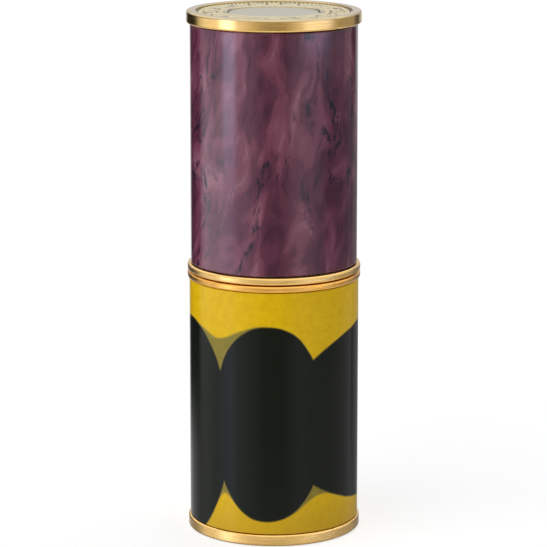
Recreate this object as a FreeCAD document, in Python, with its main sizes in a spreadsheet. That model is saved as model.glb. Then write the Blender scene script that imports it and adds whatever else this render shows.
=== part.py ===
import FreeCAD, Part
import math
import os
import re

import Sketcher

# A refillable lipstick case: a drum in two halves. The lower half is a printed sleeve over a moulded
# socket, weighted at the bottom; the upper half is a marbled sleeve over a drawn liner, and pulls off
# upwards. A cartridge stands in the socket. Turning its shell lifts the stick: two lugs on the cup run in
# upright slots of the guide tube and in the two helical grooves of the spiral sleeve round it.
# Origin at the centre of the face that the case stands on, +Z up along the axis, millimetres.

DIMENSIONS = {
    # the outside
    "ring_radius": 12.5,
    "base_radius": 12.25,
    "cap_radius": 12.0,
    "total_height": 75.7,
    "base_height": 38.08,
    "parting_gap": 0.12,
    "foot_ring_height": 1.65,
    "base_ring_height": 0.95,
    "cap_ring_height": 1.05,
    "top_band_height": 1.75,
    "ring_round": 0.33,
    "band_round": 0.28,
    "sleeve_round": 0.22,
    "small_round": 0.12,
    # gaps between pieces that don't move against each other
    "seam": 0.08,
    "assembly_gap": 0.04,
    # the base
    "base_sleeve_wall": 0.6,
    "foot_bore": 10.9,
    "spigot_height": 1.85,
    "plate_recess": 0.4,
    "plate_thickness": 1.0,
    "dish_radius": 9.4,
    "dish_depth": 0.2,
    "weight_radius": 10.5,
    "socket_radius": 10.6,
    "socket_floor": 10.2,
    "socket_floor_thickness": 1.2,
    "rib_radius": 9.62,
    "rib_width": 1.0,
    "rib_top": 29.0,
    "rib_count": 12,
    "neck_radius": 10.25,
    "neck_bore": 9.62,
    "neck_top": 43.5,
    "flange_radius": 11.25,
    "flange_thickness": 0.32,
    "magnet_radius": 11.2,
    "magnet_height": 1.4,
    # the cap
    "cap_sleeve_wall": 1.0,
    "liner_radius": 10.85,
    "liner_bore": 10.35,
    "liner_ceiling": 72.2,
    "catch_radius": 11.87,
    "catch_thickness": 0.6,
    "band_bore": 10.4,
    "band_skirt": 1.15,
    "medallion_radius": 11.1,
    "medallion_thickness": 0.4,
    "medallion_pocket": 0.75,
    "medallion_web": 0.5,
    "bead_radius": 6.75,
    "bead_width": 0.5,
    "bead_height": 0.22,
    "leaf_count": 12,
    "leaf_radius": 9.1,
    "leaf_length": 2.9,
    "leaf_bow": 0.62,
    "leaf_height": 0.2,
    "berry_radius": 0.4,
    # the cartridge
    "holder_radius": 9.55,
    "holder_foot": 10.4,
    "holder_floor": 13.4,
    "holder_top": 24.3,
    "holder_bore": 8.4,
    "boss_radius": 6.7,
    "boss_top": 26.4,
    "core_radius": 3.0,
    "core_top": 24.4,
    "o_ring_height": 11.9,
    "o_ring_wire": 0.5,
    "guide_bore": 6.75,
    "guide_radius": 7.55,
    "guide_top": 54.1,
    "guide_flange_radius": 9.0,
    "guide_flange_height": 0.9,
    "spiral_bore": 7.65,
    "spiral_radius": 9.05,
    "spiral_foot": 24.6,
    "spiral_top": 52.9,
    "groove_radius": 8.55,
    "groove_width": 1.9,
    "groove_overrun": 8.0,
    "brake_pocket_radius": 8.45,
    "brake_pocket_height": 1.7,
    "brake_radius": 8.4,
    "shell_radius": 9.5,
    "shell_wall": 0.4,
    "shell_top": 55.0,
    "shell_lip_bore": 8.3,
    "shell_lip_height": 0.7,
    "line_height": 46.2,
    "line_pitch": 1.0,
    "line_depth": 0.12,
    "line_width": 0.15,
    # the cup and the stick
    "turns": 1.25,
    "stroke": 16.0,
    "lug_height": 28.5,
    "lug_radius": 0.85,
    "lug_reach": 8.35,
    "slot_play": 0.1,
    "cup_radius": 6.65,
    "cup_bore": 6.07,
    "cup_foot": 27.0,
    "cup_floor": 28.0,
    "cup_top": 38.8,
    "stick_radius": 6.03,
    "stick_top": 55.6,
    "crest_offset": 3.9,
    "slant_depth": 8.6,
    "stick_round": 1.1,
}

doc = FreeCAD.newDocument("LipstickCase")
sheet = doc.addObject("Spreadsheet::Sheet", "Dims")
for row, (alias, number) in enumerate(DIMENSIONS.items(), start=1):
    sheet.set(f"A{row}", alias)
    sheet.set(f"B{row}", str(number))
    sheet.setAlias(f"B{row}", alias)
doc.recompute()

subparts = []

# places that several pieces share, as formulas in dimension names
BASE_RING_FOOT = "(base_height - base_ring_height)"
CAP_FOOT = "(base_height + parting_gap)"
CAP_RING_TOP = "(base_height + parting_gap + cap_ring_height)"
LINER_TOP = "(liner_ceiling + liner_radius - liner_bore)"
BAND_FOOT = "(total_height - top_band_height)"
MEDALLION_SEAT = "(total_height - medallion_pocket)"
BASE_BORE = "(base_radius - base_sleeve_wall)"
CAP_BORE = "(cap_radius - cap_sleeve_wall)"
SHELL_BORE = "(shell_radius - shell_wall)"


def bound(text):
    """The sheet expression for a formula in dimension names."""
    return re.sub(r"[a-z][a-z_]*", lambda word: "Dims." + word.group(0), text)


def value(text):
    """What a formula in dimension names comes to now."""
    return float(sheet.evalExpression(bound(text)))


def new_body(label):
    """An empty body that becomes the sub-part with that label."""
    body = doc.addObject("PartDesign::Body", label)
    body.Label = label
    subparts.append(body)
    return body


def origin_feature(body, role):
    """One of the body's own origin planes or axes."""
    return next(f for f in body.Origin.OriginFeatures if f.Role == role)


def new_sketch(body, name, plane, height="0"):
    """A sketch on one of the body's origin planes, or on one lifted to that height."""
    sketch = body.newObject("Sketcher::SketchObject", name)
    sketch.AttachmentSupport = [(origin_feature(body, plane), "")]
    sketch.MapMode = "FlatFace"
    if height != "0":
        sketch.setExpression("AttachmentOffset.Base.z", bound(height))
    return sketch


def place_point(sketch, geometry, end, across, up):
    """Ties a point of the sketch to two formulas, measured from the sketch's origin."""
    for kind, axis, formula in (("DistanceX", -2, across), ("DistanceY", -1, up)):
        if formula == "0":
            sketch.addConstraint(Sketcher.Constraint("PointOnObject", geometry, end, axis))
        else:
            number = Sketcher.Constraint(kind, geometry, end, value(formula))
            index = sketch.addConstraint(number)
            sketch.setExpression(f"Constraints[{index}]", bound(formula))


def outline(sketch, corners):
    """A closed outline of straight lines through corners given as pairs of formulas."""
    points = [FreeCAD.Vector(value(x), value(y), 0) for x, y in corners]
    count = len(points)
    for i, start in enumerate(points):
        sketch.addGeometry(Part.LineSegment(start, points[(i + 1) % count]), False)
    for i in range(count):
        sketch.addConstraint(Sketcher.Constraint("Coincident", i, 2, (i + 1) % count, 1))
    for i, (x, y) in enumerate(corners):
        place_point(sketch, i, 1, x, y)


def circle(sketch, across, up, radius):
    """A circle whose centre and radius are formulas."""
    centre = FreeCAD.Vector(value(across), value(up), 0)
    index = sketch.addGeometry(Part.Circle(centre, FreeCAD.Vector(0, 0, 1), value(radius)), False)
    place_point(sketch, index, 3, across, up)
    number = sketch.addConstraint(Sketcher.Constraint("Radius", index, value(radius)))
    sketch.setExpression(f"Constraints[{number}]", bound(radius))


def revolve(body, kind, name, corners):
    """Turns an outline of (radius, height) pairs about Z, as a Revolution or a Groove."""
    sketch = new_sketch(body, name + "_outline", "XZ_Plane")
    outline(sketch, corners)
    feature = body.newObject("PartDesign::" + kind, name)
    feature.Profile = sketch
    feature.ReferenceAxis = (sketch, ["V_Axis"])
    feature.Angle = 360
    doc.recompute()
    return feature


def turned(label, corners):
    """A body of revolution from an outline of (radius, height) pairs."""
    body = new_body(label)
    revolve(body, "Revolution", label + "_turning", corners)
    return body


def tube(label, inner, outer, low, high):
    """A plain ring or tube, or a disc where the inner radius is 0."""
    return turned(label, [(inner, low), (outer, low), (outer, high), (inner, high)])


def rounded(body, size, places):
    """Rounds the circular edges at the given (radius, height) pairs."""
    base = body.Tip
    wanted = [(value(r), value(z)) for r, z in places]
    names = []
    for number, edge in enumerate(base.Shape.Edges, start=1):
        if not isinstance(edge.Curve, Part.Circle):
            continue
        here = (edge.Curve.Radius, edge.Curve.Center.z)
        if any(math.dist(here, place) < 1e-4 for place in wanted):
            names.append(f"Edge{number}")
    if len(names) != len(wanted):
        raise ValueError(f"{body.Label}: found {len(names)} of {len(wanted)} edges to round")
    fillet = body.newObject("PartDesign::Fillet", f"{body.Name}_rounding_{len(body.Group)}")
    fillet.Base = (base, names)
    fillet.setExpression("Radius", bound(size))
    doc.recompute()


def pad(body, name, sketch, length, both_ways=False):
    """Pads a sketch, upwards or half the length to each side of its plane."""
    feature = body.newObject("PartDesign::Pad", name)
    feature.Profile = sketch
    feature.setExpression("Length", bound(length))
    if both_ways:
        feature.SideType = "Symmetric"
    doc.recompute()
    return feature


def pocket(body, name, sketch, width):
    """Cuts a sketch through the body, half the width to each side of the sketch's plane."""
    before = body.Shape.Volume
    feature = body.newObject("PartDesign::Pocket", name)
    feature.Profile = sketch
    feature.SideType = "Symmetric"
    feature.setExpression("Length", bound(width))
    doc.recompute()
    if not feature.Shape.Volume < before:
        raise RuntimeError(f"{body.Label}: {name} cut nothing")
    return feature


def repeated(body, name, feature, count):
    """The feature again, evenly round Z."""
    pattern = body.newObject("PartDesign::PolarPattern", name)
    pattern.Originals = [feature]
    pattern.Axis = (origin_feature(body, "Z_Axis"), [""])
    pattern.Angle = 360
    pattern.setExpression("Occurrences", bound(count))
    body.Tip = pattern
    doc.recompute()
    return pattern


# ---------------------------------------------------------------- base


def foot_ring():
    """The gold ring the case stands on, with a spigot up inside the printed sleeve."""
    spigot = BASE_BORE + " - assembly_gap"
    ring = turned(
        "foot_ring",
        [
            ("foot_bore", "0"),
            ("ring_radius", "0"),
            ("ring_radius", "foot_ring_height"),
            (spigot, "foot_ring_height"),
            (spigot, "foot_ring_height + spigot_height"),
            ("foot_bore", "foot_ring_height + spigot_height"),
        ],
    )
    rounded(ring, "band_round", [("ring_radius", "0"), ("ring_radius", "foot_ring_height")])


def bottom_plate():
    """The disc that closes the underside, recessed in the foot ring and dished in its middle."""
    rim = "foot_bore - assembly_gap"
    plate = turned(
        "bottom_plate",
        [
            ("0", "plate_recess + dish_depth"),
            ("dish_radius", "plate_recess + dish_depth"),
            ("dish_radius", "plate_recess"),
            (rim, "plate_recess"),
            (rim, "plate_recess + plate_thickness"),
            ("0", "plate_recess + plate_thickness"),
        ],
    )
    rounded(plate, "small_round", [(rim, "plate_recess"), ("dish_radius", "plate_recess")])


def base_weight():
    """A steel slug under the socket, which keeps the case upright."""
    low = "plate_recess + plate_thickness + assembly_gap"
    high = "socket_floor - socket_floor_thickness - seam"
    slug = tube("base_weight", "0", "weight_radius", low, high)
    rounded(slug, "ring_round", [("weight_radius", high)])


def base_sleeve():
    """The printed tube of the lower half."""
    low = "foot_ring_height + seam"
    high = BASE_RING_FOOT + " - seam"
    sleeve = tube("base_sleeve", BASE_BORE, "base_radius", low, high)
    rounded(sleeve, "small_round", [("base_radius", low), ("base_radius", high)])


def base_body():
    """The moulded socket: a tube with a floor, guide ribs, and seats for neck and magnet at its top."""
    outer = BASE_BORE + " - assembly_gap"
    foot = "foot_ring_height + spigot_height + assembly_gap"
    top = BASE_RING_FOOT + " - assembly_gap"
    magnet_seat = top + " - assembly_gap - magnet_height"
    body = turned(
        "base_body",
        [
            ("0", "socket_floor - socket_floor_thickness"),
            ("socket_radius", "socket_floor - socket_floor_thickness"),
            ("socket_radius", foot),
            (outer, foot),
            (outer, top),
            ("magnet_radius + assembly_gap", top),
            ("magnet_radius + assembly_gap", magnet_seat),
            ("neck_radius + assembly_gap", magnet_seat),
            ("neck_radius + assembly_gap", "rib_top"),
            ("socket_radius", "rib_top"),
            ("socket_radius", "socket_floor"),
            ("0", "socket_floor"),
        ],
    )
    # the ribs are sunk a little into floor and wall, so that they join them
    section = new_sketch(body, "rib_section", "XY_Plane", "socket_floor - small_round")
    outline(
        section,
        [
            ("rib_radius", "-rib_width / 2"),
            ("socket_radius + small_round", "-rib_width / 2"),
            ("socket_radius + small_round", "rib_width / 2"),
            ("rib_radius", "rib_width / 2"),
        ],
    )
    rib = pad(body, "rib", section, "rib_top - socket_floor + small_round")
    repeated(body, "ribs", rib, "rib_count")


def neck_collar():
    """The gold tube that the cap slides over, with a flange held under the upper ring."""
    flange_top = BASE_RING_FOOT + " + flange_thickness"
    neck = turned(
        "neck_collar",
        [
            ("neck_bore", "rib_top + assembly_gap"),
            ("neck_radius", "rib_top + assembly_gap"),
            ("neck_radius", BASE_RING_FOOT),
            ("flange_radius", BASE_RING_FOOT),
            ("flange_radius", flange_top),
            ("neck_radius", flange_top),
            ("neck_radius", "neck_top"),
            ("neck_bore", "neck_top"),
        ],
    )
    rounded(neck, "sleeve_round", [("neck_radius", "neck_top")])


def closure_magnet():
    """The ring magnet round the neck, under the upper ring."""
    high = BASE_RING_FOOT + " - assembly_gap"
    low = high + " - magnet_height"
    tube("closure_magnet", "neck_radius + assembly_gap", "magnet_radius", low, high)


def base_top_ring():
    """The gold ring at the top of the lower half, recessed below for the neck's flange."""
    recess_top = BASE_RING_FOOT + " + flange_thickness + assembly_gap"
    ring = turned(
        "base_top_ring",
        [
            ("flange_radius + assembly_gap", BASE_RING_FOOT),
            ("ring_radius", BASE_RING_FOOT),
            ("ring_radius", "base_height"),
            ("neck_radius + assembly_gap", "base_height"),
            ("neck_radius + assembly_gap", recess_top),
            ("flange_radius + assembly_gap", recess_top),
        ],
    )
    rounded(ring, "ring_round", [("ring_radius", BASE_RING_FOOT), ("ring_radius", "base_height")])


# ---------------------------------------------------------------- cap


def cap_bottom_ring():
    """The gold ring at the cap's mouth, with a pocket for the steel ring that the magnet pulls."""
    pocket_floor = CAP_RING_TOP + " - catch_thickness - assembly_gap"
    ring = turned(
        "cap_bottom_ring",
        [
            ("liner_radius + assembly_gap", CAP_FOOT),
            ("ring_radius", CAP_FOOT),
            ("ring_radius", CAP_RING_TOP),
            ("catch_radius + assembly_gap", CAP_RING_TOP),
            ("catch_radius + assembly_gap", pocket_floor),
            ("liner_radius + assembly_gap", pocket_floor),
        ],
    )
    rounded(ring, "ring_round", [("ring_radius", CAP_FOOT), ("ring_radius", CAP_RING_TOP)])


def cap_catch_ring():
    """The steel washer in the cap's lower ring."""
    low = CAP_RING_TOP + " - catch_thickness"
    tube("cap_catch_ring", "liner_radius + 2 * assembly_gap", "catch_radius", low, CAP_RING_TOP)


def cap_sleeve():
    """The marbled tube of the cap."""
    low = CAP_RING_TOP + " + seam"
    high = BAND_FOOT + " - seam"
    sleeve = tube("cap_sleeve", CAP_BORE, "cap_radius", low, high)
    rounded(sleeve, "sleeve_round", [("cap_radius", low), ("cap_radius", high)])


def cap_liner():
    """The drawn metal cup inside the cap, which runs on the neck."""
    low = CAP_FOOT + " + seam"
    liner = turned(
        "cap_liner",
        [
            ("liner_bore", low),
            ("liner_radius", low),
            ("liner_radius", LINER_TOP),
            ("0", LINER_TOP),
            ("0", "liner_ceiling"),
            ("liner_bore", "liner_ceiling"),
        ],
    )
    rounded(liner, "sleeve_round", [("liner_bore", low)])


def cap_top_band():
    """The gold band round the top, with a web under the medallion and a skirt down into the sleeve."""
    skirt = CAP_BORE + " - assembly_gap"
    skirt_foot = BAND_FOOT + " - band_skirt"
    web = MEDALLION_SEAT + " - medallion_web"
    recess = "medallion_radius + assembly_gap"
    band = turned(
        "cap_top_band",
        [
            ("0", web),
            ("band_bore", web),
            ("band_bore", skirt_foot),
            (skirt, skirt_foot),
            (skirt, BAND_FOOT),
            ("ring_radius", BAND_FOOT),
            ("ring_radius", "total_height"),
            (recess, "total_height"),
            (recess, MEDALLION_SEAT),
            ("0", MEDALLION_SEAT),
        ],
    )
    rounded(band, "band_round", [("ring_radius", BAND_FOOT), ("ring_radius", "total_height")])
    rounded(band, "small_round", [(recess, "total_height")])


def cap_weight():
    """A steel disc between the liner and the band's web, which gives the cap its heft."""
    low = LINER_TOP + " + assembly_gap"
    high = MEDALLION_SEAT + " - medallion_web - assembly_gap"
    tube("cap_weight", "0", "band_bore - 2 * assembly_gap", low, high)


def cap_medallion():
    """The stamped disc in the top: a plain field, a bead, and a wreath of leaves and berries."""
    face = MEDALLION_SEAT + " + medallion_thickness"
    bead = face + " + bead_height"
    disc = turned(
        "cap_medallion",
        [
            ("0", MEDALLION_SEAT),
            ("medallion_radius", MEDALLION_SEAT),
            ("medallion_radius", face),
            ("bead_radius + bead_width / 2", face),
            ("bead_radius + bead_width / 2", bead),
            ("bead_radius - bead_width / 2", bead),
            ("bead_radius - bead_width / 2", face),
            ("0", face),
        ],
    )
    bead_edges = [("bead_radius + bead_width / 2", bead), ("bead_radius - bead_width / 2", bead)]
    rounded(disc, "small_round", bead_edges)
    # leaves and berries are sunk a little into the face, so that they join it
    sunk = face + " - small_round"
    leaf_outline = new_sketch(disc, "leaf_outline", "XY_Plane", sunk)
    pointed_leaf(leaf_outline)
    leaf = pad(disc, "leaf", leaf_outline, "leaf_height + small_round")
    repeated(disc, "wreath_leaves", leaf, "leaf_count")
    # a berry stands halfway between two leaves
    half_step = math.pi / DIMENSIONS["leaf_count"]
    across = f"leaf_radius * {math.cos(half_step):.6f}"
    up = f"leaf_radius * {math.sin(half_step):.6f}"
    berry_outline = new_sketch(disc, "berry_outline", "XY_Plane", sunk)
    circle(berry_outline, across, up, "berry_radius")
    berry = pad(disc, "berry", berry_outline, "leaf_height + small_round")
    repeated(disc, "wreath_berries", berry, "leaf_count")


def pointed_leaf(sketch):
    """A pointed leaf lying along a radius: two arcs between its tips."""
    inner = "leaf_radius - leaf_length / 2"
    outer = "leaf_radius + leaf_length / 2"
    tips = [FreeCAD.Vector(value(place), 0, 0) for place in (inner, outer)]
    sides = []
    for side in (1, -1):
        middle = FreeCAD.Vector(value("leaf_radius"), side * value("leaf_bow"), 0)
        sides.append(sketch.addGeometry(Part.Arc(tips[0], middle, tips[1]), False))
    # an arc's ends run anticlockwise, so the upper arc starts at the outer tip
    upper, lower = sides
    sketch.addConstraint(Sketcher.Constraint("Coincident", upper, 1, lower, 2))
    sketch.addConstraint(Sketcher.Constraint("Coincident", upper, 2, lower, 1))
    place_point(sketch, upper, 1, outer, "0")
    place_point(sketch, upper, 2, inner, "0")
    bend = "leaf_length * leaf_length / (8 * leaf_bow) + leaf_bow / 2"
    for side in sides:
        index = sketch.addConstraint(Sketcher.Constraint("Radius", side, value(bend)))
        sketch.setExpression(f"Constraints[{index}]", bound(bend))


# ---------------------------------------------------------------- cartridge


def refill_holder():
    """The plug that stands the cartridge in the socket: a boss for the guide tube, cored from below,
    and a groove for the sealing ring."""
    groove_low = "o_ring_height - o_ring_wire - seam"
    groove_high = "o_ring_height + o_ring_wire + seam"
    groove_floor = "holder_radius - 2 * o_ring_wire"
    holder = turned(
        "refill_holder",
        [
            ("core_radius", "holder_foot"),
            ("holder_radius", "holder_foot"),
            ("holder_radius", groove_low),
            (groove_floor, groove_low),
            (groove_floor, groove_high),
            ("holder_radius", groove_high),
            ("holder_radius", "holder_top"),
            ("holder_bore", "holder_top"),
            ("holder_bore", "holder_floor"),
            ("boss_radius", "holder_floor"),
            ("boss_radius", "boss_top"),
            ("0", "boss_top"),
            ("0", "core_top"),
            ("core_radius", "core_top"),
        ],
    )
    rounded(holder, "ring_round", [("holder_radius", "holder_foot")])


def holder_o_ring():
    """The rubber ring in the holder's groove."""
    ring = doc.addObject("Part::Torus", "holder_o_ring")
    ring.Label = "holder_o_ring"
    ring.setExpression("Radius1", bound("holder_radius - o_ring_wire + assembly_gap / 2"))
    ring.setExpression("Radius2", bound("o_ring_wire - assembly_gap / 2"))
    ring.setExpression("Placement.Base.z", bound("o_ring_height"))
    subparts.append(ring)


def guide_tube():
    """The inner tube, pressed on the holder's boss, with two upright slots for the cup's lugs."""
    flange = "guide_top - guide_flange_height"
    inner_tube = turned(
        "guide_tube",
        [
            ("guide_bore", "holder_floor + assembly_gap"),
            ("guide_radius", "holder_floor + assembly_gap"),
            ("guide_radius", flange),
            ("guide_flange_radius", flange),
            ("guide_flange_radius", "guide_top"),
            ("guide_bore", "guide_top"),
        ],
    )
    rounded(inner_tube, "sleeve_round", [("guide_bore", "guide_top")])
    half = "(lug_radius + slot_play)"
    low = "lug_height - " + half
    high = "lug_height + stroke + " + half
    slot = new_sketch(inner_tube, "slot_outline", "YZ_Plane")
    outline(slot, [("-" + half, low), (half, low), (half, high), ("-" + half, high)])
    pocket(inner_tube, "slots", slot, "4 * guide_radius")


def brake_ring():
    """The soft ring between guide tube and spiral sleeve, which holds the stick where it is left."""
    low = "spiral_foot + seam"
    high = "spiral_foot + brake_pocket_height - 2 * seam"
    ring = tube("brake_ring", "guide_radius + assembly_gap", "brake_radius", low, high)
    rounded(ring, "sleeve_round", [("brake_radius", high)])


def spiral_sleeve():
    """The sleeve with two helical grooves inside, which lift the cup's lugs as it turns."""
    brake_pocket_top = "spiral_foot + brake_pocket_height"
    sleeve = turned(
        "spiral_sleeve",
        [
            ("brake_pocket_radius", "spiral_foot"),
            ("spiral_radius", "spiral_foot"),
            ("spiral_radius", "spiral_top"),
            ("spiral_bore", "spiral_top"),
            ("spiral_bore", brake_pocket_top),
            ("brake_pocket_radius", brake_pocket_top),
        ],
    )
    # the groove runs past the lug's lowest and highest places by groove_overrun degrees
    start = "lug_height - stroke / turns * groove_overrun / 360"
    low = start + " - groove_width / 2"
    high = start + " + groove_width / 2"
    inside = "spiral_bore - 2 * seam"
    section = new_sketch(sleeve, "groove_section", "XZ_Plane")
    outline(section, [(inside, low), ("groove_radius", low), ("groove_radius", high), (inside, high)])
    groove = sleeve.newObject("PartDesign::SubtractiveHelix", "groove")
    groove.Profile = section
    groove.ReferenceAxis = (section, ["V_Axis"])
    groove.Mode = "pitch-turns-angle"
    groove.setExpression("Pitch", bound("stroke / turns"))
    groove.setExpression("Turns", bound("turns + 2 * groove_overrun / 360"))
    groove.LeftHanded = False
    groove.Reversed = False
    doc.recompute()
    repeated(sleeve, "grooves", groove, "2")
    turned_back = FreeCAD.Rotation(FreeCAD.Vector(0, 0, 1), -DIMENSIONS["groove_overrun"])
    sleeve.Placement = FreeCAD.Placement(FreeCAD.Vector(0, 0, 0), turned_back)


def swivel_shell():
    """The gold shell that fingers turn: a thin tube with a lip at its top and two turned lines."""
    lip = "shell_top - shell_lip_height"
    corners = [(SHELL_BORE, "spiral_foot"), ("shell_radius", "spiral_foot")]
    for low in ("line_height", "line_height + line_pitch"):
        corners += [
            ("shell_radius", low),
            ("shell_radius - line_depth", low + " + line_depth"),
            ("shell_radius - line_depth", low + " + line_depth + line_width"),
            ("shell_radius", low + " + 2 * line_depth + line_width"),
        ]
    corners += [
        ("shell_radius", "shell_top"),
        ("shell_lip_bore", "shell_top"),
        ("shell_lip_bore", lip),
        (SHELL_BORE, lip),
    ]
    shell = turned("swivel_shell", corners)
    rounded(shell, "band_round", [("shell_radius", "shell_top")])
    rounded(shell, "sleeve_round", [("shell_lip_bore", "shell_top")])


# ---------------------------------------------------------------- stick


def lipstick_cup():
    """The cup that carries the stick, with a lug on each side."""
    cup = tube("lipstick_cup", "0", "cup_radius", "cup_foot", "cup_top")
    section = new_sketch(cup, "lug_section", "YZ_Plane")
    circle(section, "0", "lug_height", "lug_radius")
    pad(cup, "lugs", section, "2 * lug_reach", both_ways=True)
    hollow = [("0", "cup_floor"), ("cup_bore", "cup_floor"), ("cup_bore", "cup_top"), ("0", "cup_top")]
    revolve(cup, "Groove", "cup_hollow", hollow)


def lipstick_bullet():
    """The stick: a round bar cut off on a slant, with its edges softened."""
    stick = tube("lipstick_bullet", "0", "stick_radius", "cup_floor + assembly_gap", "stick_top")
    # the cut falls from the crest, and is slant_depth down where it leaves the stick
    reach = "2 * stick_radius"
    fall = "slant_depth * 2 * stick_radius / (stick_radius + crest_offset)"
    slant = new_sketch(stick, "slant_outline", "XZ_Plane")
    outline(
        slant,
        [
            ("-crest_offset", "stick_top"),
            (reach + " - crest_offset", "stick_top - " + fall),
            (reach + " - crest_offset", "stick_top + stick_radius"),
            ("-crest_offset", "stick_top + stick_radius"),
        ],
    )
    cut = pocket(stick, "slant", slant, "4 * stick_radius")
    edges = enumerate(cut.Shape.Edges, start=1)
    upper = [f"Edge{i}" for i, edge in edges if edge.BoundBox.ZMin > value("cup_top")]
    softening = stick.newObject("PartDesign::Fillet", "softening")
    softening.Base = (cut, upper)
    softening.setExpression("Radius", bound("stick_round"))
    doc.recompute()


def check():
    """Stops the build if a feature failed, or if a sub-part has no sound solid."""
    for item in doc.Objects:
        if "Invalid" in item.State or "Error" in item.State:
            raise RuntimeError(f"{item.Label} failed: {item.State}")
    for item in subparts:
        shape = item.Shape
        if shape.isNull() or not shape.isValid() or not shape.Solids or shape.Volume <= 0:
            raise RuntimeError(f"{item.Label} has no valid solid")


MAKERS = (
    foot_ring,
    bottom_plate,
    base_weight,
    base_sleeve,
    base_body,
    neck_collar,
    closure_magnet,
    base_top_ring,
    cap_bottom_ring,
    cap_catch_ring,
    cap_sleeve,
    cap_liner,
    cap_top_band,
    cap_weight,
    cap_medallion,
    refill_holder,
    holder_o_ring,
    guide_tube,
    brake_ring,
    spiral_sleeve,
    swivel_shell,
    lipstick_cup,
    lipstick_bullet,
)

for make in MAKERS:
    make()
doc.recompute()
check()
os.makedirs("parts", exist_ok=True)
for item in subparts:
    item.Shape.exportStep(f"parts/{item.Label}.step")
    print(f"{item.Label}: {len(item.Shape.Solids)} solid, {item.Shape.Volume:.1f} mm3")
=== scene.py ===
"""Looks of the lipstick case: camera, studio, materials and the stamped relief of the cap's top."""

import math

import bpy
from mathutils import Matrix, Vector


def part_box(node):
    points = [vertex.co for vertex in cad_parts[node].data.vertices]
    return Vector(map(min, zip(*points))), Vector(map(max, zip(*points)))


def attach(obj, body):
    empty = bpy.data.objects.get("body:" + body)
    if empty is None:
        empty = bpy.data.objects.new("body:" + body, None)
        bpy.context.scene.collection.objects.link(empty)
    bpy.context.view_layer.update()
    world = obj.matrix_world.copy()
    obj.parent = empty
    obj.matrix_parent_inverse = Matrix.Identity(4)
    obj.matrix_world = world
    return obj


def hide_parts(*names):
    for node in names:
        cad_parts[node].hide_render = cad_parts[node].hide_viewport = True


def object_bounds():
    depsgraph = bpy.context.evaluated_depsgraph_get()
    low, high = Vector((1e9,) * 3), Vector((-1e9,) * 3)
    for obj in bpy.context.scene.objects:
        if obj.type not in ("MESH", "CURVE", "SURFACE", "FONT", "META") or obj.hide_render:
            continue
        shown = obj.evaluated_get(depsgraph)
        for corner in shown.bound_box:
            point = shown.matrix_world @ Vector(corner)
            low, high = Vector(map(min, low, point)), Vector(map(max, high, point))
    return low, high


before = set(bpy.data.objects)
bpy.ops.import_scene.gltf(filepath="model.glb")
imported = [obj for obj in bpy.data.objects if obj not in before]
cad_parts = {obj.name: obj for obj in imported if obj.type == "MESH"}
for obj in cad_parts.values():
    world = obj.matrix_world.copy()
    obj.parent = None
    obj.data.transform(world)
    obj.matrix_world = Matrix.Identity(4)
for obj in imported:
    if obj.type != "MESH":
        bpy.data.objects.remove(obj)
CAD_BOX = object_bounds()
MM = 0.001

# --- Sizes taken from the CAD frame -------------------------------------------------------------

SLEEVE_LOW, SLEEVE_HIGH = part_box("base_sleeve")
SLEEVE_RADIUS = SLEEVE_HIGH.x / MM
MEDALLION_LOW, MEDALLION_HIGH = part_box("cap_medallion")
TOP_OF_CASE = CAD_BOX[1].z

# --- Node graph helper --------------------------------------------------------------------------


# The Mix node's sockets for colours. It has others of the same names for numbers and vectors.
MIX_FACTOR = 0
MIX_FIRST_COLOUR = 6
MIX_SECOND_COLOUR = 7
MIX_COLOUR_RESULT = 2


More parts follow.
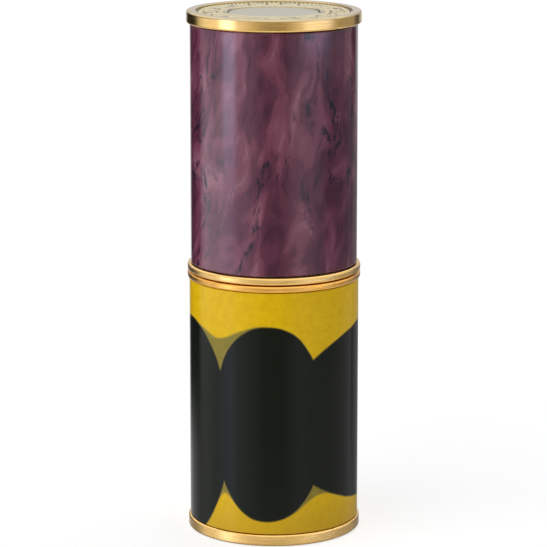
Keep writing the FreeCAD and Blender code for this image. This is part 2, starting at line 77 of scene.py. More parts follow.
class Graph:
    """A node tree, built one step at a time. A value is a number, a colour or another node's output."""

    def __init__(self, tree):
        self.tree = tree
        self.tree.nodes.clear()

    def add(self, kind, **settings):
        node = self.tree.nodes.new(kind)
        for key, value in settings.items():
            setattr(node, key, value)
        return node

    def plug(self, socket, value):
        if isinstance(value, bpy.types.NodeSocket):
            self.tree.links.new(value, socket)
        else:
            socket.default_value = value

    def math(self, operation, *values):
        node = self.add("ShaderNodeMath", operation=operation)
        for socket, value in zip(node.inputs, values):
            self.plug(socket, value)
        return node.outputs[0]

    def vector(self, operation, *values):
        node = self.add("ShaderNodeVectorMath", operation=operation)
        for socket, value in zip(node.inputs, values):
            self.plug(socket, value)
        return node.outputs[0]

    def axes(self, vector):
        node = self.add("ShaderNodeSeparateXYZ")
        self.plug(node.inputs[0], vector)
        return node.outputs

    def lowest(self, values):
        result = values[0]
        for value in values[1:]:
            result = self.math("MINIMUM", result, value)
        return result

    def blend(self, first, share, second):
        """First times its share, plus second times the rest."""
        return self.math("ADD", self.math("MULTIPLY", first, share), self.math("MULTIPLY", second, 1 - share))

    def place(self):
        """The point on the object, in millimetres."""
        coordinates = self.add("ShaderNodeTexCoord")
        return self.vector("MULTIPLY", coordinates.outputs["Object"], (1 / MM,) * 3)

    def stretched(self, vector, x, y, z):
        return self.vector("MULTIPLY", vector, (x, y, z))

    def step(self, value, low, high, start=0.0, end=1.0):
        """Goes smoothly from start to end while value goes from low to high."""
        node = self.add("ShaderNodeMapRange", interpolation_type="SMOOTHSTEP")
        for socket, number in zip(node.inputs, (value, low, high, start, end)):
            self.plug(socket, number)
        return node.outputs[0]

    def noise(self, vector, scale=1.0, detail=3.0, roughness=0.5):
        node = self.add("ShaderNodeTexNoise")
        self.plug(node.inputs["Vector"], vector)
        node.inputs["Scale"].default_value = scale
        node.inputs["Detail"].default_value = detail
        node.inputs["Roughness"].default_value = roughness
        return node.outputs

    def mix(self, factor, first, second):
        """First where factor is 0, second where it is 1."""
        node = self.add("ShaderNodeMix", data_type="RGBA")
        self.plug(node.inputs[MIX_FACTOR], factor)
        self.plug(node.inputs[MIX_FIRST_COLOUR], first)
        self.plug(node.inputs[MIX_SECOND_COLOUR], second)
        return node.outputs[MIX_COLOUR_RESULT]

    def ramp(self, factor, stops, interpolation="EASE"):
        node = self.add("ShaderNodeValToRGB")
        self.plug(node.inputs[0], factor)
        node.color_ramp.interpolation = interpolation
        elements = node.color_ramp.elements
        while len(elements) < len(stops):
            elements.new(0.5)
        for element, (position, stop_colour) in zip(elements, stops):
            element.position = position
            element.color = stop_colour
        return node.outputs[0]

    def bump(self, height, depth):
        """A bump of depth millimetres where height goes from 0 to 1."""
        node = self.add("ShaderNodeBump")
        self.plug(node.inputs["Height"], height)
        node.inputs["Strength"].default_value = 1.0
        node.inputs["Distance"].default_value = depth * MM
        return node.outputs[0]


def grey(value):
    return (value, value, value, 1.0)


def colour(red, green, blue):
    return (red, green, blue, 1.0)


def new_material(name):
    material = bpy.data.materials.new(name)
    material.use_nodes = True
    return material, Graph(material.node_tree)


def shade(graph, **inputs):
    """Ends a material with its shader. Uniform values go straight on the shader's sockets."""
    shader = graph.add("ShaderNodeBsdfPrincipled")
    for name, value in inputs.items():
        graph.plug(shader.inputs[name.replace("_", " ")], value)
    output = graph.add("ShaderNodeOutputMaterial")
    graph.plug(output.inputs["Surface"], shader.outputs[0])


# --- The stamped relief on the cap's top --------------------------------------------------------

# Radii and heights in millimetres. Heights are above the plain face of the centre disc.
MEDALLION_RADIUS = MEDALLION_HIGH.x / MM
MEDALLION_SEAT = MEDALLION_LOW.z / MM
CAD_BEAD_HEIGHT = 0.22
FACE_HEIGHT = MEDALLION_HIGH.z / MM - CAD_BEAD_HEIGHT
DISC_EDGE = 6.40
BEAD_START, BEAD_END = 6.60, 7.10
BEAD_HEIGHT = 0.20
BEAD_ROUNDNESS = 0.98
FIELD_START, FIELD_END = 7.18, 10.92
FIELD_DEPTH = 0.08
RIM_STEP_HEIGHT = 0.10
DISC_GROOVE_DEPTH = 0.22
INNER_FLUTES, INNER_FLUTE_RADIUS = 72, 7.62
OUTER_FLUTES, OUTER_FLUTE_RADIUS = 96, 10.46
FLUTE_HALF_LENGTH = 0.36
FLUTE_HEIGHT = 0.30
ROSETTES = 12
ROSETTE_RADIUS = 9.02
ROSETTE_SIZE = 0.98
ROSETTE_HEIGHT = 0.34
ROSETTE_PIT = 0.36
ROSETTE_PIT_DEPTH = 1.8 * ROSETTE_HEIGHT
PETALS = 5
PETAL_SCALLOP = 0.26
LEAF_LENGTH, LEAF_WIDTH = 1.35, 0.42
LEAF_TILT = math.radians(38)
LEAF_HEIGHT = 0.30
LEAF_OFFSET = 0.42
MIDRIB_DEPTH, MIDRIB_HALF_WIDTH = 0.07, 0.10
# The grid of the relief's mesh: columns round it, and rings outwards. There is a ring this gap
# either side of each steep wall.
COLUMNS = 864
PLAIN_RADII = (0.5, 3.0, 5.5)
BEAD_RINGS = 6
FIELD_RINGS = 40
WALL_GAP = 0.02
SHARP_ANGLE = math.radians(50)


def dome(distance):
    """1 at the centre, falling to 0 at distance 1."""
    return max(0.0, 1.0 - distance * distance)


def flutes(radius, angle, count, row_radius):
    """A row of short radial beads."""
    wave = 0.5 + 0.5 * math.cos(count * angle)
    return FLUTE_HEIGHT * wave * math.sqrt(dome((radius - row_radius) / FLUTE_HALF_LENGTH))


def rosette(across, outward):
    """A five-petalled flower with a pit in its middle."""
    distance = math.hypot(across, outward)
    wave = math.cos(PETALS * math.atan2(across, outward))
    petals = ROSETTE_SIZE * (1 - PETAL_SCALLOP + PETAL_SCALLOP * wave)
    height = ROSETTE_HEIGHT * math.sqrt(dome(distance / petals))
    if distance < ROSETTE_PIT:
        height -= ROSETTE_PIT_DEPTH * dome(distance / ROSETTE_PIT)
    return height


def leaf(across, outward, tilt):
    """A pointed leaf with a grooved midrib."""
    along = across * math.cos(tilt) + outward * math.sin(tilt)
    aside = outward * math.cos(tilt) - across * math.sin(tilt)
    taper = dome(along / LEAF_LENGTH)
    if taper == 0.0:
        return 0.0
    height = LEAF_HEIGHT * math.sqrt(dome(aside / (LEAF_WIDTH * taper)))
    midrib = MIDRIB_DEPTH * max(0.0, 1.0 - abs(aside) / MIDRIB_HALF_WIDTH)
    return max(0.0, height - midrib)


def wreath(radius, angle):
    """Rosettes in a ring with a pair of leaves between neighbours."""
    sector = 2 * math.pi / ROSETTES
    across = ((angle + sector / 2) % sector - sector / 2) * radius
    outward = radius - ROSETTE_RADIUS
    beside = (angle % sector - sector / 2) * radius
    flower = rosette(across, outward)
    if abs(across) <= ROSETTE_PIT:
        return flower
    inner_leaf = leaf(beside, outward - LEAF_OFFSET, LEAF_TILT)
    outer_leaf = leaf(beside, outward + LEAF_OFFSET, -LEAF_TILT)
    return max(flower, inner_leaf, outer_leaf)


def relief_height(radius, angle):
    """Height of the medallion's surface above the plain face of its centre disc."""
    if radius <= DISC_EDGE:
        return 0.0
    if radius < BEAD_START:
        return -DISC_GROOVE_DEPTH
    if radius <= BEAD_END:
        middle = (BEAD_START + BEAD_END) / 2
        return BEAD_HEIGHT * math.sqrt(dome((radius - middle) / (BEAD_END - middle) * BEAD_ROUNDNESS))
    if radius < FIELD_START:
        return -DISC_GROOVE_DEPTH
    if radius <= FIELD_END:
        raised = max(
            wreath(radius, angle),
            flutes(radius, angle, INNER_FLUTES, INNER_FLUTE_RADIUS),
            flutes(radius, angle, OUTER_FLUTES, OUTER_FLUTE_RADIUS),
        )
        return raised - FIELD_DEPTH
    return RIM_STEP_HEIGHT


def relief_radii():
    """Rings of the relief's grid, closer together where the surface changes."""
    radii = [*PLAIN_RADII, DISC_EDGE - WALL_GAP, DISC_EDGE + WALL_GAP, BEAD_START - WALL_GAP]
    radii += [BEAD_START + (BEAD_END - BEAD_START) * n / BEAD_RINGS for n in range(BEAD_RINGS + 1)]
    radii += [FIELD_START + (FIELD_END - FIELD_START) * n / FIELD_RINGS for n in range(FIELD_RINGS + 1)]
    radii += [FIELD_END + WALL_GAP, MEDALLION_RADIUS]
    return radii


def medallion():
    """The whole stamped medallion: relief on top, a plain side wall and a plain underside."""
    vertices = [(0.0, 0.0, FACE_HEIGHT * MM)]
    radii = relief_radii()
    turns = [2 * math.pi * n / COLUMNS for n in range(COLUMNS)]
    for radius in radii:
        for turn in turns:
            height = FACE_HEIGHT + relief_height(radius, turn)
            vertices.append((radius * math.sin(turn) * MM, -radius * math.cos(turn) * MM, height * MM))
    for turn in turns:
        x, y = MEDALLION_RADIUS * math.sin(turn) * MM, -MEDALLION_RADIUS * math.cos(turn) * MM
        vertices.append((x, y, MEDALLION_SEAT * MM))
    vertices.append((0.0, 0.0, MEDALLION_SEAT * MM))
    faces = []
    last_ring = 1 + len(radii) * COLUMNS
    for column in range(COLUMNS):
        beside = (column + 1) % COLUMNS
        faces.append((0, 1 + column, 1 + beside))
        for ring in range(len(radii)):
            inner = 1 + ring * COLUMNS
            outer = inner + COLUMNS
            faces.append((inner + column, outer + column, outer + beside, inner + beside))
        faces.append((last_ring + column, len(vertices) - 1, last_ring + beside))
    mesh = bpy.data.meshes.new("medallion_relief")
    mesh.from_pydata(vertices, [], faces)
    mesh.materials.append(stamped_gold())
    mesh.shade_smooth()
    mesh.set_sharp_from_angle(angle=SHARP_ANGLE)
    piece = bpy.data.objects.new("medallion_relief", mesh)
    bpy.context.scene.collection.objects.link(piece)
    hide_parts("cap_medallion")
    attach(piece, "cap")


# --- Materials ----------------------------------------------------------------------------------

GOLD = colour(0.90, 0.60, 0.23)
GOLD_DEEP = colour(0.84, 0.52, 0.16)
GOLD_PALE = colour(0.60, 0.46, 0.24)
GOLD_WARM = colour(0.90, 0.51, 0.13)
GOLD_WARM_DEEP = colour(0.84, 0.42, 0.08)
# Painted shade: the dark colour the foot ring takes next to the table, standing in for its contact shadow.
GOLD_PAINTED_SHADE = colour(0.20, 0.12, 0.05)
# Smoothest and roughest brushing.
RING_ROUGHNESS = (0.14, 0.24)
BAND_ROUGHNESS = (0.12, 0.22)
# The top band starts to turn pale this far below the case's top, and has done so over the fade.
# The foot ring's painted contact shade is full at its foot and ends at this height. All in millimetres.
PALE_RIM = 0.38
PALE_FADE = 0.15
CONTACT_SHADE_HEIGHT = 0.45


def brushing(graph, place):
    """Fine lines that run round a turned part, from 0 to 1."""
    long_lines = graph.noise(graph.stretched(place, 0.10, 0.10, 14.0), detail=2.0)[0]
    short_lines = graph.noise(graph.stretched(place, 0.20, 0.20, 26.0), detail=2.0)[0]
    return graph.blend(long_lines, 0.6, short_lines)


def brushed_gold(name, light, deep, depth, roughness=RING_ROUGHNESS, pale_above=None, painted_shade_below=None):
    """Gold with brushing lines round it, depth millimetres deep.

    It turns paler above one height, and darkens below another with painted contact shade, if those heights
    are given.
    """
    material, graph = new_material(name)
    place = graph.place()
    lines = brushing(graph, place)
    cloud = graph.noise(place, scale=0.35, detail=2.0)[0]
    tone = graph.blend(lines, 0.7, cloud)
    metal = graph.mix(graph.step(tone, 0.35, 0.65), deep, light)
    if pale_above is not None:
        height = graph.axes(place)[2]
        metal = graph.mix(graph.step(height, pale_above, pale_above + PALE_FADE), metal, GOLD_PALE)
    # Painted shade: darker towards the foot ring's foot, standing in for the contact shadow on the table.
    if painted_shade_below is not None:
        height = graph.axes(place)[2]
        metal = graph.mix(graph.step(height, 0.0, painted_shade_below, 1.0, 0.0), metal, GOLD_PAINTED_SHADE)
    shade(
        graph,
        Base_Color=metal,
        Metallic=1.0,
        Roughness=graph.step(lines, 0.3, 0.7, *roughness),
        Normal=graph.bump(lines, depth),
    )
    return material


# The marbling. Scales are noise cells per millimetre along X, Y and Z, the swirl's reach and the
# offset are in millimetres, and the lean is in radians per millimetre of height.
MARBLE_OFFSET = (20.0, -80.0, -35.0)
MARBLE_LEAN = 0.030
SWIRL_REACH = (12.0, 12.0, 14.0)
SWIRL_SCALE = (0.13, 0.13, 0.08)
CLOUD_SCALE = (0.24, 0.24, 0.14)
STREAK_SCALE = (0.60, 0.60, 0.20)
FEATHER_SCALE = (0.45, 0.45, 0.26)
FLECK_SCALE = (1.5, 1.5, 0.50)
GROUP_SCALE = (0.12, 0.12, 0.08)
VEIN_SCALE = (0.16, 0.16, 0.03)
WINE = (
    (0.34, colour(0.062, 0.013, 0.034)),
    (0.46, colour(0.100, 0.023, 0.050)),
    (0.56, colour(0.160, 0.042, 0.078)),
    (0.68, colour(0.235, 0.085, 0.130)),
)
WISP_COLOUR = colour(0.014, 0.007, 0.024)


def marble_flow(graph, place):
    """The point in the marbling: leaned over more on the left, then pushed about by a broad swirl."""
    x, _, height = graph.axes(place)
    lean = graph.math("SUBTRACT", 0.5, graph.math("MULTIPLY", x, 0.04))
    above = graph.math("SUBTRACT", height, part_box("cap_sleeve")[0].z / MM)
    angle = graph.math("MULTIPLY", graph.math("MULTIPLY", above, lean), -MARBLE_LEAN)
    twist = graph.add("ShaderNodeVectorRotate", rotation_type="Z_AXIS")
    graph.plug(twist.inputs["Vector"], place)
    graph.plug(twist.inputs["Angle"], angle)
    swirl = graph.noise(graph.stretched(twist.outputs[0], *SWIRL_SCALE), detail=2.0)[1]
    centred = graph.vector("SUBTRACT", swirl, (0.5, 0.5, 0.5))
    push = graph.vector("MULTIPLY", centred, SWIRL_REACH)
    return graph.vector("ADD", graph.vector("ADD", twist.outputs[0], MARBLE_OFFSET), push)


def marble_ink(graph, flow):
    """Where the dark wisps, specks and broken veins are, from 0 to 1."""
    feathers = graph.noise(graph.stretched(flow, *FEATHER_SCALE), detail=6.0, roughness=0.62)[0]
    flecks = graph.noise(graph.stretched(flow, *FLECK_SCALE), detail=2.0)[0]
    groups = graph.noise(graph.stretched(flow, *GROUP_SCALE), detail=1.0)[0]
    veins = graph.noise(graph.stretched(flow, *VEIN_SCALE), detail=1.0)[0]
    wisp_groups = graph.step(groups, 0.40, 0.60, 0.25, 1.0)
    wisps = graph.math("MULTIPLY", graph.step(feathers, 0.52, 0.67), wisp_groups)
    near_vein = graph.math("ABSOLUTE", graph.math("SUBTRACT", veins, 0.5))
    vein_line = graph.step(near_vein, 0.006, 0.030, 1.0, 0.0)
    broken = graph.math("MULTIPLY", vein_line, graph.step(flecks, 0.44, 0.56))
    broken = graph.math("MULTIPLY", broken, graph.step(groups, 0.44, 0.54, 0.0, 1.0))
    specks = graph.step(flecks, 0.70, 0.80, 0.0, 0.8)
    return graph.math("MAXIMUM", graph.math("MAXIMUM", wisps, specks), broken)


def marbled_resin():
    """Wine-coloured resin with paler clouds, dark feathery wisps, a few broken veins and painted light on its
    left side.
    """
    material, graph = new_material("marbled_resin")
    place = graph.place()
    flow = marble_flow(graph, place)
    clouds = graph.noise(graph.stretched(flow, *CLOUD_SCALE), detail=3.0, roughness=0.45)[0]
    streaks = graph.noise(graph.stretched(flow, *STREAK_SCALE), detail=2.0)[0]
    # Painted light: the resin is made lighter on its left side, towards the key light.
    painted_light_on_left = graph.math("MULTIPLY", graph.axes(place)[0], -0.003)
    tone = graph.math("ADD", graph.blend(clouds, 0.8, streaks), painted_light_on_left)
    shade(
        graph,
        Base_Color=graph.mix(marble_ink(graph, flow), graph.ramp(tone, WINE), WISP_COLOUR),
        Roughness=graph.step(streaks, 0.3, 0.7, 0.05, 0.09),
        IOR=1.54,
        Normal=graph.bump(streaks, 0.002),
    )
    return material


# Centre angle and centre height, half width round the sleeve and half height, of each printed oval.
# The angle is in degrees from the front, the lengths are in millimetres.
OVALS = (
    (-76.0, 16.0, 9.5, 16.0),
    (-4.0, 17.9, 8.4, 14.3),
    (96.0, 18.0, 19.5, 13.3),
    (200.0, 17.0, 10.8, 15.0),
)
# How square the ovals are: 2 is an ellipse.
OVAL_POWER = 2.15
# Olive webs between neighbouring ovals: the two ovals, then how widely the web spreads at the lower
# and at the upper of two heights. The heights are in millimetres, the spread is a share of an oval.
WEB_HEIGHTS = (12.0, 22.0)
WEBS = (
    (0, 1, 0.40, 1.14),
    (1, 2, 0.60, 0.02),
    (2, 3, 0.30, 0.45),
    (3, 0, 0.50, 0.30),
)
YELLOW = (
    (0.36, colour(0.64, 0.385, 0.001)),
    (0.50, colour(0.70, 0.435, 0.002)),
    (0.64, colour(0.74, 0.475, 0.006)),
)
# Painted shade near the table: the yellow at the sleeve's foot, and the height in millimetres over which it
# fades out.
YELLOW_PAINTED_SHADE = colour(0.50, 0.30, 0.012)
FOOT_SHADE_HEIGHT = 7.0


def oval_field(graph, angle, height, oval, wobble):
    """1 on the oval's outline, less inside it and more outside."""
    centre_angle, centre_height, half_width, half_height = oval
    turn = graph.math("SUBTRACT", angle, math.radians(centre_angle))
    turn = graph.math("WRAP", turn, math.pi, -math.pi)
    across = graph.math("MULTIPLY", turn, SLEEVE_RADIUS / half_width)
    up = graph.math("DIVIDE", graph.math("SUBTRACT", height, centre_height), half_height)
    across = graph.math("POWER", graph.math("ABSOLUTE", across), OVAL_POWER)
    up = graph.math("POWER", graph.math("ABSOLUTE", up), OVAL_POWER)
    distance = graph.math("POWER", graph.math("ADD", across, up), 1 / OVAL_POWER)
    return graph.math("ADD", distance, wobble)


def printed_sleeve():
    """Lacquered print: black ovals on mustard yellow, with olive webs where two ovals meet, and painted shade
    towards the foot.
    """
    material, graph = new_material("printed_sleeve")
    place = graph.place()
    x, y, height = graph.axes(place)
    angle = graph.math("ARCTAN2", x, graph.math("MULTIPLY", y, -1.0))
    wander = graph.noise(place, scale=0.16, detail=2.0)[0]
    wobble = graph.math("MULTIPLY", graph.math("SUBTRACT", wander, 0.5), 0.05)
    fields = [oval_field(graph, angle, height, oval, wobble) for oval in OVALS]
    nearest = graph.lowest(fields)
    webs = []
    for first, second, lower, upper in WEBS:
        spread = graph.step(height, *WEB_HEIGHTS, lower, upper)
        webs.append(graph.math("SMOOTH_MIN", fields[first], fields[second], spread))
    mottle = graph.noise(place, scale=1.1, detail=5.0, roughness=0.65)[0]
    grain = graph.noise(place, scale=7.0, detail=3.0)[0]
    yellow = graph.ramp(graph.blend(mottle, 0.75, grain), YELLOW)
    # Painted shade: the yellow darkens towards the sleeve's foot, standing in for the shade near the table.
    sleeve_foot = SLEEVE_LOW.z / MM
    foot = graph.step(height, sleeve_foot, sleeve_foot + FOOT_SHADE_HEIGHT, 0.7, 0.0)
    yellow = graph.mix(foot, yellow, YELLOW_PAINTED_SHADE)
    olive = graph.mix(mottle, colour(0.17, 0.135, 0.018), colour(0.30, 0.24, 0.04))
    black = graph.mix(mottle, colour(0.004, 0.006, 0.004), colour(0.008, 0.010, 0.007))
    ground = graph.mix(graph.step(graph.lowest(webs), 0.985, 1.01, 1.0, 0.0), yellow, olive)
    shade(
        graph,
        Base_Color=graph.mix(graph.step(nearest, 0.985, 1.012, 1.0, 0.0), ground, black),
        Roughness=graph.step(grain, 0.3, 0.7, 0.08, 0.13),
        IOR=1.45,
        Specular_IOR_Level=0.22,
        Normal=graph.bump(grain, 0.001),
    )
    return material


def stamped_gold():
    """Pale stamped gold, darker in the recesses."""
    material, graph = new_material("stamped_gold")
    place = graph.place()
    height = graph.axes(place)[2]
    raised = graph.step(height, FACE_HEIGHT - 0.14, FACE_HEIGHT + 0.02)
    patina = graph.noise(place, scale=2.4, detail=4.0, roughness=0.6)[0]
    dull, bright = colour(0.485, 0.425, 0.275), colour(0.565, 0.505, 0.350)
    metal = graph.mix(graph.step(patina, 0.35, 0.65), dull, bright)
    shade(
        graph,
        Base_Color=graph.mix(raised, colour(0.13, 0.07, 0.025), metal),
        Metallic=1.0,
        Roughness=graph.step(patina, 0.3, 0.7, 0.14, 0.22),
        Normal=graph.bump(patina, 0.004),
    )
    return material


def moulded_plastic(name, dark, light, roughness):
    """Moulded plastic with a fine satin texture."""
    material, graph = new_material(name)
    place = graph.place()
    cloud = graph.noise(place, scale=0.5, detail=3.0)[0]
    texture = graph.noise(place, scale=9.0, detail=3.0, roughness=0.6)[0]
    shade(
        graph,
        Base_Color=graph.mix(graph.step(cloud, 0.35, 0.65), dark, light),
        Roughness=graph.step(texture, 0.3, 0.7, roughness - 0.06, roughness + 0.06),
        Normal=graph.bump(texture, 0.010),
    )
    return material


def turned_steel():
    """Steel with turning lines and faint stains."""
    material, graph = new_material("turned_steel")
    place = graph.place()
    lines = brushing(graph, place)
    stain = graph.noise(place, scale=0.7, detail=4.0)[0]
    shade(
        graph,
        Base_Color=graph.mix(graph.step(stain, 0.4, 0.65), grey(0.55), colour(0.42, 0.41, 0.40)),
        Metallic=1.0,
        Roughness=graph.step(lines, 0.3, 0.7, 0.22, 0.36),
        Normal=graph.bump(lines, 0.012),
    )
    return material


def nickel_magnet():
    """A sintered magnet's grainy nickel plating."""
    material, graph = new_material("nickel_magnet")
    place = graph.place()
    grit = graph.noise(place, scale=6.0, detail=4.0, roughness=0.65)[0]
    shade(
        graph,
        Base_Color=graph.mix(graph.step(grit, 0.4, 0.6), grey(0.50), colour(0.66, 0.65, 0.63)),
        Metallic=1.0,
        Roughness=graph.step(grit, 0.35, 0.65, 0.20, 0.34),
        Normal=graph.bump(grit, 0.006),
    )
    return material


def seal_rubber():
    """Soft black rubber."""
    material, graph = new_material("seal_rubber")
    place = graph.place()
    grain = graph.noise(place, scale=8.0, detail=4.0, roughness=0.7)[0]
    shade(
        graph,
        Base_Color=graph.mix(grain, grey(0.010), grey(0.030)),
        Roughness=graph.step(grain, 0.3, 0.7, 0.50, 0.68),
        Normal=graph.bump(grain, 0.015),
    )
    return material


def lipstick_wax():
    """Red wax with a slight bloom."""
    material, graph = new_material("lipstick_wax")
    place = graph.place()
    cloud = graph.noise(place, scale=0.6, detail=4.0)[0]
    bloom = graph.noise(graph.stretched(place, 1.0, 1.0, 0.3), scale=3.0, detail=4.0, roughness=0.6)[0]
    deep_red, light_red = colour(0.42, 0.010, 0.030), colour(0.52, 0.020, 0.045)
    shade(
        graph,
        Base_Color=graph.mix(graph.step(cloud, 0.35, 0.65), deep_red, light_red),
        Roughness=graph.step(bloom, 0.3, 0.7, 0.26, 0.40),
        Subsurface_Weight=0.15,
        Subsurface_Radius=(0.8 * MM, 0.3 * MM, 0.2 * MM),
        Subsurface_Scale=1.0,
        Normal=graph.bump(bloom, 0.008),
    )
    return material


def gold_rings():
    """The golds of the visible rings and of the sheet metal, each with its nodes."""
    pale_above = TOP_OF_CASE / MM - PALE_RIM
    return (
        (
            brushed_gold("gold_top_band", GOLD, GOLD_DEEP, 0.008, BAND_ROUGHNESS, pale_above=pale_above),
            ("cap_top_band",),
        ),
        (
            brushed_gold("gold_foot_ring", GOLD, GOLD_DEEP, 0.026, painted_shade_below=CONTACT_SHADE_HEIGHT),
            ("foot_ring",),
        ),
        (
            brushed_gold("gold_cap_ring", GOLD, GOLD_DEEP, 0.030),
            ("cap_bottom_ring",),
        ),
        (
            brushed_gold("gold_base_ring", GOLD_WARM, GOLD_WARM_DEEP, 0.030),
            ("base_top_ring",),
        ),
        (
            brushed_gold("gold_sheet", GOLD, GOLD_DEEP, 0.006),
            ("bottom_plate", "neck_collar", "cap_liner", "swivel_shell"),
        ),
    )


def dress_nodes():
    """Gives every CAD node its material."""
    ivory_dark, ivory_light = colour(0.60, 0.56, 0.46), colour(0.68, 0.64, 0.54)
    black_dark, black_light = grey(0.012), grey(0.022)
    dressed = gold_rings() + (
        (marbled_resin(), ("cap_sleeve",)),
        (printed_sleeve(), ("base_sleeve",)),
        (
            moulded_plastic("socket_plastic", black_dark, black_light, 0.42),
            ("base_body", "refill_holder"),
        ),
        (
            moulded_plastic("mechanism_plastic", ivory_dark, ivory_light, 0.38),
            ("guide_tube", "spiral_sleeve", "lipstick_cup"),
        ),
        (turned_steel(), ("base_weight", "cap_catch_ring", "cap_weight")),
        (nickel_magnet(), ("closure_magnet",)),
        (seal_rubber(), ("holder_o_ring", "brake_ring")),
        (lipstick_wax(), ("lipstick_bullet",)),
    )
    for material, names in dressed:
        for name in names:
            for material_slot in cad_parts[name].material_slots:
                material_slot.material = material


# --- Stage, studio and camera -------------------------------------------------------------------

FLOOR_HALF_SIZE = 4.0
FLOOR_GAP = 0.05 * MM


def floor():
    """A plain pale table top. Gloss on the case reflects the studio, not the table."""
    half = FLOOR_HALF_SIZE
    level = CAD_BOX[0].z - FLOOR_GAP
    mesh = bpy.data.meshes.new("table_top")
    corners = [(-half, -half, level), (half, -half, level), (half, half, level), (-half, half, level)]
    mesh.from_pydata(corners, [], [(0, 1, 2, 3)])
    table = bpy.data.objects.new("table_top", mesh)
    bpy.context.scene.collection.objects.link(table)
    material, graph = new_material("table_top")
    haze = graph.noise(graph.place(), scale=0.004, detail=2.0)[0]
    shade(
        graph,
        Base_Color=graph.mix(haze, grey(0.40), grey(0.42)),
        Roughness=0.9,
        Specular_IOR_Level=0.0,
        Emission_Color=grey(1.0),
        Emission_Strength=0.72,
    )
    mesh.materials.append(material)
    table.visible_glossy = False


# The studio's walls: direction in degrees from the front (left is minus), and the light there.
STUDIO_WALLS = (
    (-180, grey(0.85)),
    (-150, grey(0.50)),
    (-120, grey(0.42)),
    (-104, grey(0.76)),
    (-84, grey(0.82)),
    (-72, colour(1.05, 1.10, 1.25)),
    (-60, colour(1.35, 1.40, 1.70)),
    (-48, grey(0.95)),
    (-34, grey(0.84)),
    (0, grey(1.06)),
    (30, grey(0.84)),
    (60, grey(0.60)),
    (90, grey(0.54)),
    (120, grey(0.46)),
    (150, grey(0.50)),
    (180, grey(0.85)),
)
WALL_PEAK = 2.0
# Softboxes are at full light over this share of their width.
SOFTBOX_CORE = 0.3
# Softboxes: direction, half width, lowest and highest height as the sine of the angle, how far the
# soft edge reaches beyond those heights, and light.
SOFTBOXES = (
    (-64, 15, -0.150, 0.10, 0.035, colour(1.60, 1.65, 2.20)),
    (-68, 42, -0.128, 0.10, 0.010, colour(0.0, 0.06, 0.34)),
    (61, 31, -0.128, 0.10, 0.010, colour(1.15, 1.30, 2.10)),
    (112, 34, -0.216, -0.206, 0.010, grey(0.34)),
    (-90, 36, -0.200, -0.165, 0.035, colour(0.85, 0.87, 0.92)),
)
# Dark flags: direction, half width of the dark middle, half width with its soft edge, lowest height
# and highest height as sines, and light.
FLAGS = (
    (0, 9, 42, -0.28, -0.06, colour(0.30, 0.27, 0.20)),
    (102, 20, 42, -0.20, -0.155, grey(0.20)),
    (-141, 15, 25, -0.24, 0.15, grey(0.020)),
    (141, 5, 14, -0.25, 0.15, grey(0.06)),
    (152, 10, 24, -0.30, -0.165, grey(0.24)),
)
FLAG_FADE = 0.035
# Light above and below the walls, and the two heights, as sines, between which it takes over.
UPPER_WALL, UPPER_WALL_EDGE = 0.68, (0.02, 0.20)
CEILING, CEILING_EDGE = 1.35, (0.30, 0.60)
TABLE_BOUNCE, TABLE_EDGE = 0.95, (-0.65, -0.45)


def turned_from(graph, azimuth, degrees):
    """Angle between a direction and a given one, in degrees, without sign."""
    turn = graph.math("WRAP", graph.math("SUBTRACT", azimuth, math.radians(degrees)), math.pi, -math.pi)
    return graph.math("MULTIPLY", graph.math("ABSOLUTE", turn), math.degrees(1.0))


def level_window(graph, z, lowest, highest, fade):
    """1 between two heights, with soft edges outside them."""
    rising = graph.step(z, lowest - fade, lowest)
    return graph.math("MULTIPLY", rising, graph.step(z, highest, highest + fade, 1.0, 0.0))


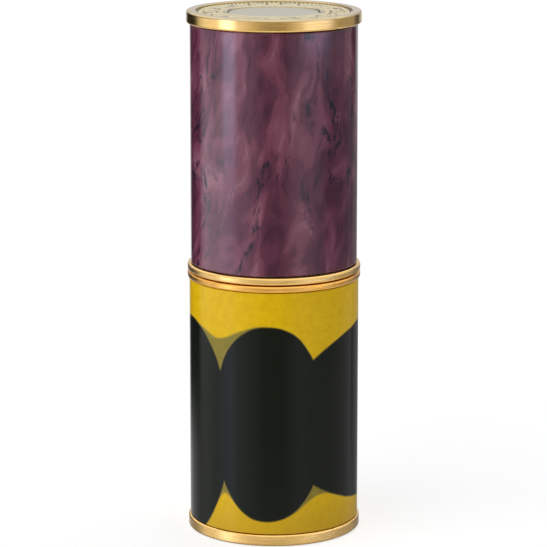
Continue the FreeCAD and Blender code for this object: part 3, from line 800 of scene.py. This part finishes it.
def studio():
    """What gloss reflects: soft light all round, brighter overhead. The camera sees plain white.

    It doesn't light matt surfaces. The lamps do that.
    """
    world = bpy.data.worlds.new("studio")
    world.use_nodes = True
    graph = Graph(world.node_tree)
    direction = graph.add("ShaderNodeTexCoord").outputs["Generated"]
    x, y, z = graph.axes(direction)
    azimuth = graph.math("ARCTAN2", x, graph.math("MULTIPLY", y, -1.0))
    turn = graph.math("ADD", graph.math("DIVIDE", azimuth, 2 * math.pi), 0.5)
    stops = []
    for degrees, light in STUDIO_WALLS:
        scaled = tuple(part / WALL_PEAK for part in light[:3]) + (1.0,)
        stops.append((degrees / 360 + 0.5, scaled))
    light = graph.vector("MULTIPLY", graph.ramp(turn, stops, "LINEAR"), (WALL_PEAK,) * 3)
    for degrees, half_width, lowest, highest, fade, glow in SOFTBOXES:
        turned = turned_from(graph, azimuth, degrees)
        inside = graph.step(turned, half_width * SOFTBOX_CORE, half_width, 1.0, 0.0)
        inside = graph.math("MULTIPLY", inside, level_window(graph, z, lowest, highest, fade))
        light = graph.vector("ADD", light, graph.mix(inside, grey(0.0), glow))
    for degrees, dark_width, soft_width, lowest, highest, shadow in FLAGS:
        turned = turned_from(graph, azimuth, degrees)
        inside = graph.step(turned, dark_width, soft_width, 1.0, 0.0)
        inside = graph.math("MULTIPLY", inside, level_window(graph, z, lowest, highest, FLAG_FADE))
        light = graph.mix(inside, light, shadow)
    light = graph.mix(graph.step(z, *UPPER_WALL_EDGE), light, grey(UPPER_WALL))
    light = graph.mix(graph.step(z, *CEILING_EDGE), light, grey(CEILING))
    light = graph.mix(graph.step(z, *TABLE_EDGE, 1.0, 0.0), light, grey(TABLE_BOUNCE))
    soft = graph.add("ShaderNodeBackground")
    graph.plug(soft.inputs[0], light)
    white = graph.add("ShaderNodeBackground")
    graph.plug(white.inputs[0], grey(1.0))
    seen = graph.add("ShaderNodeLightPath").outputs["Is Camera Ray"]
    chosen = graph.add("ShaderNodeMixShader")
    graph.plug(chosen.inputs[0], seen)
    graph.plug(chosen.inputs[1], soft.outputs[0])
    graph.plug(chosen.inputs[2], white.outputs[0])
    output = graph.add("ShaderNodeOutputWorld")
    graph.plug(output.inputs["Surface"], chosen.outputs[0])
    bpy.context.scene.world = world
    world.cycles_visibility.diffuse = False


# Soft lamps for matt surfaces: name, direction from the front, height above the horizon, angular
# size (all in degrees) and strength.
LAMPS = (
    ("key", -52, 25, 70, 1.85),
    ("fill", 90, 25, 70, 0.25),
    ("back", 160, 35, 80, 0.95),
    ("overhead", 0, 90, 120, 0.90),
)


def lamps():
    """Large soft lamps that light matt surfaces only; gloss reflects the studio instead."""
    for name, azimuth, elevation, size, strength in LAMPS:
        data = bpy.data.lights.new(name, "SUN")
        data.energy = strength
        data.angle = math.radians(size)
        lamp = bpy.data.objects.new(name, data)
        lamp.rotation_euler = (math.radians(90 - elevation), 0, math.radians(azimuth))
        lamp.visible_glossy = False
        bpy.context.scene.collection.objects.link(lamp)


# A long lens. The lens and sensor are in millimetres, the place in metres, the tilt down in degrees.
LENS = 191.6
SENSOR = 36.0
CAMERA_PLACE = (-0.00006, -0.4122, 0.1252)
CAMERA_TILT = 12.03


def camera():
    """The camera, in front of the case and looking slightly down on it."""
    data = bpy.data.cameras.new("camera")
    data.lens = LENS
    data.sensor_width = SENSOR
    data.clip_start = 0.01
    data.clip_end = 20.0
    eye = bpy.data.objects.new("camera", data)
    eye.location = CAMERA_PLACE
    eye.rotation_euler = (math.radians(90 - CAMERA_TILT), 0, 0)
    bpy.context.scene.collection.objects.link(eye)
    bpy.context.scene.camera = eye


# --- The scene ----------------------------------------------------------------------------------

dress_nodes()
medallion()
floor()
studio()
lamps()
camera()
bpy.context.scene.view_settings.view_transform = "Standard"
